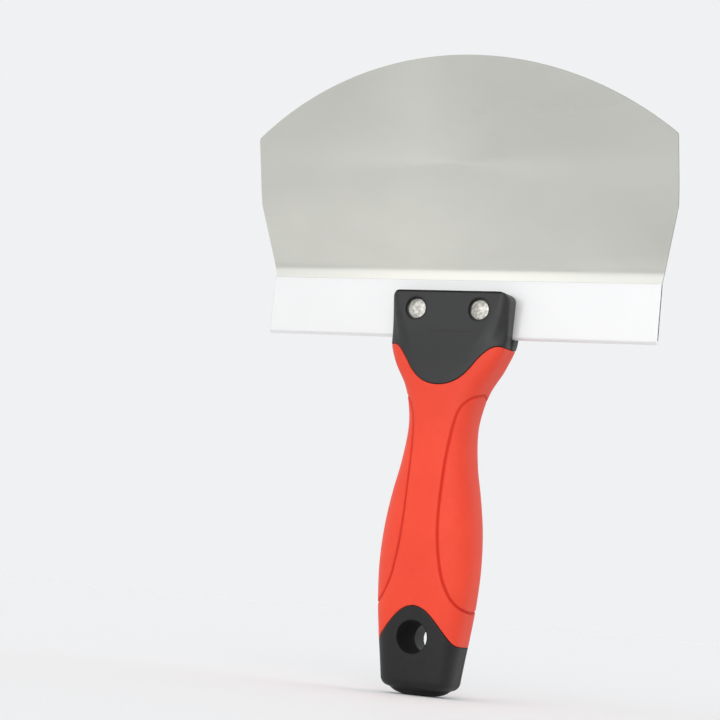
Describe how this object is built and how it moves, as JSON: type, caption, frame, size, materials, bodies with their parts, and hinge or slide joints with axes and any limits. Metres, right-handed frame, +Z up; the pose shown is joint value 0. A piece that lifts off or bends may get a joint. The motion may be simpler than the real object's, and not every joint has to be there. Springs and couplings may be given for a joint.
{
  "type": "flexible putty knife",
  "caption": "Wide flexible putty knife: crowned spring-steel blade leaning from a folded aluminium back, riveted in a two-shell handle with a soft grip and a hanging hole.",
  "frame": {"origin": "middle of the small flat under the butt's shallow dome, on which the tool stands", "axes": "+Z up the handle towards the blade, +X across the blade, -Y is the front face, towards which the blade leans"},
  "size_m": [0.17, 0.0298, 0.2342],
  "materials": {
    "blade_steel": "satin rolled stainless spring steel, faint lengthwise grain and soft clouding",
    "holder_aluminium": "pale satin anodised sheet, nearly white",
    "black_plastic": "charcoal black, fine spark-eroded matte texture",
    "red_grip": "warm red soft-touch elastomer, matte with a faint sheen",
    "rivet_metal": "nickel-plated, uneven from being struck"
  },
  "bodies": {
    "root": {"blade": "blade_steel", "blade_holder": "holder_aluminium", "core_front": "black_plastic", "core_rear": "black_plastic", "grip": "red_grip", "rivet_left": "rivet_metal", "rivet_right": "rivet_metal"}
  },
  "joints": []
}
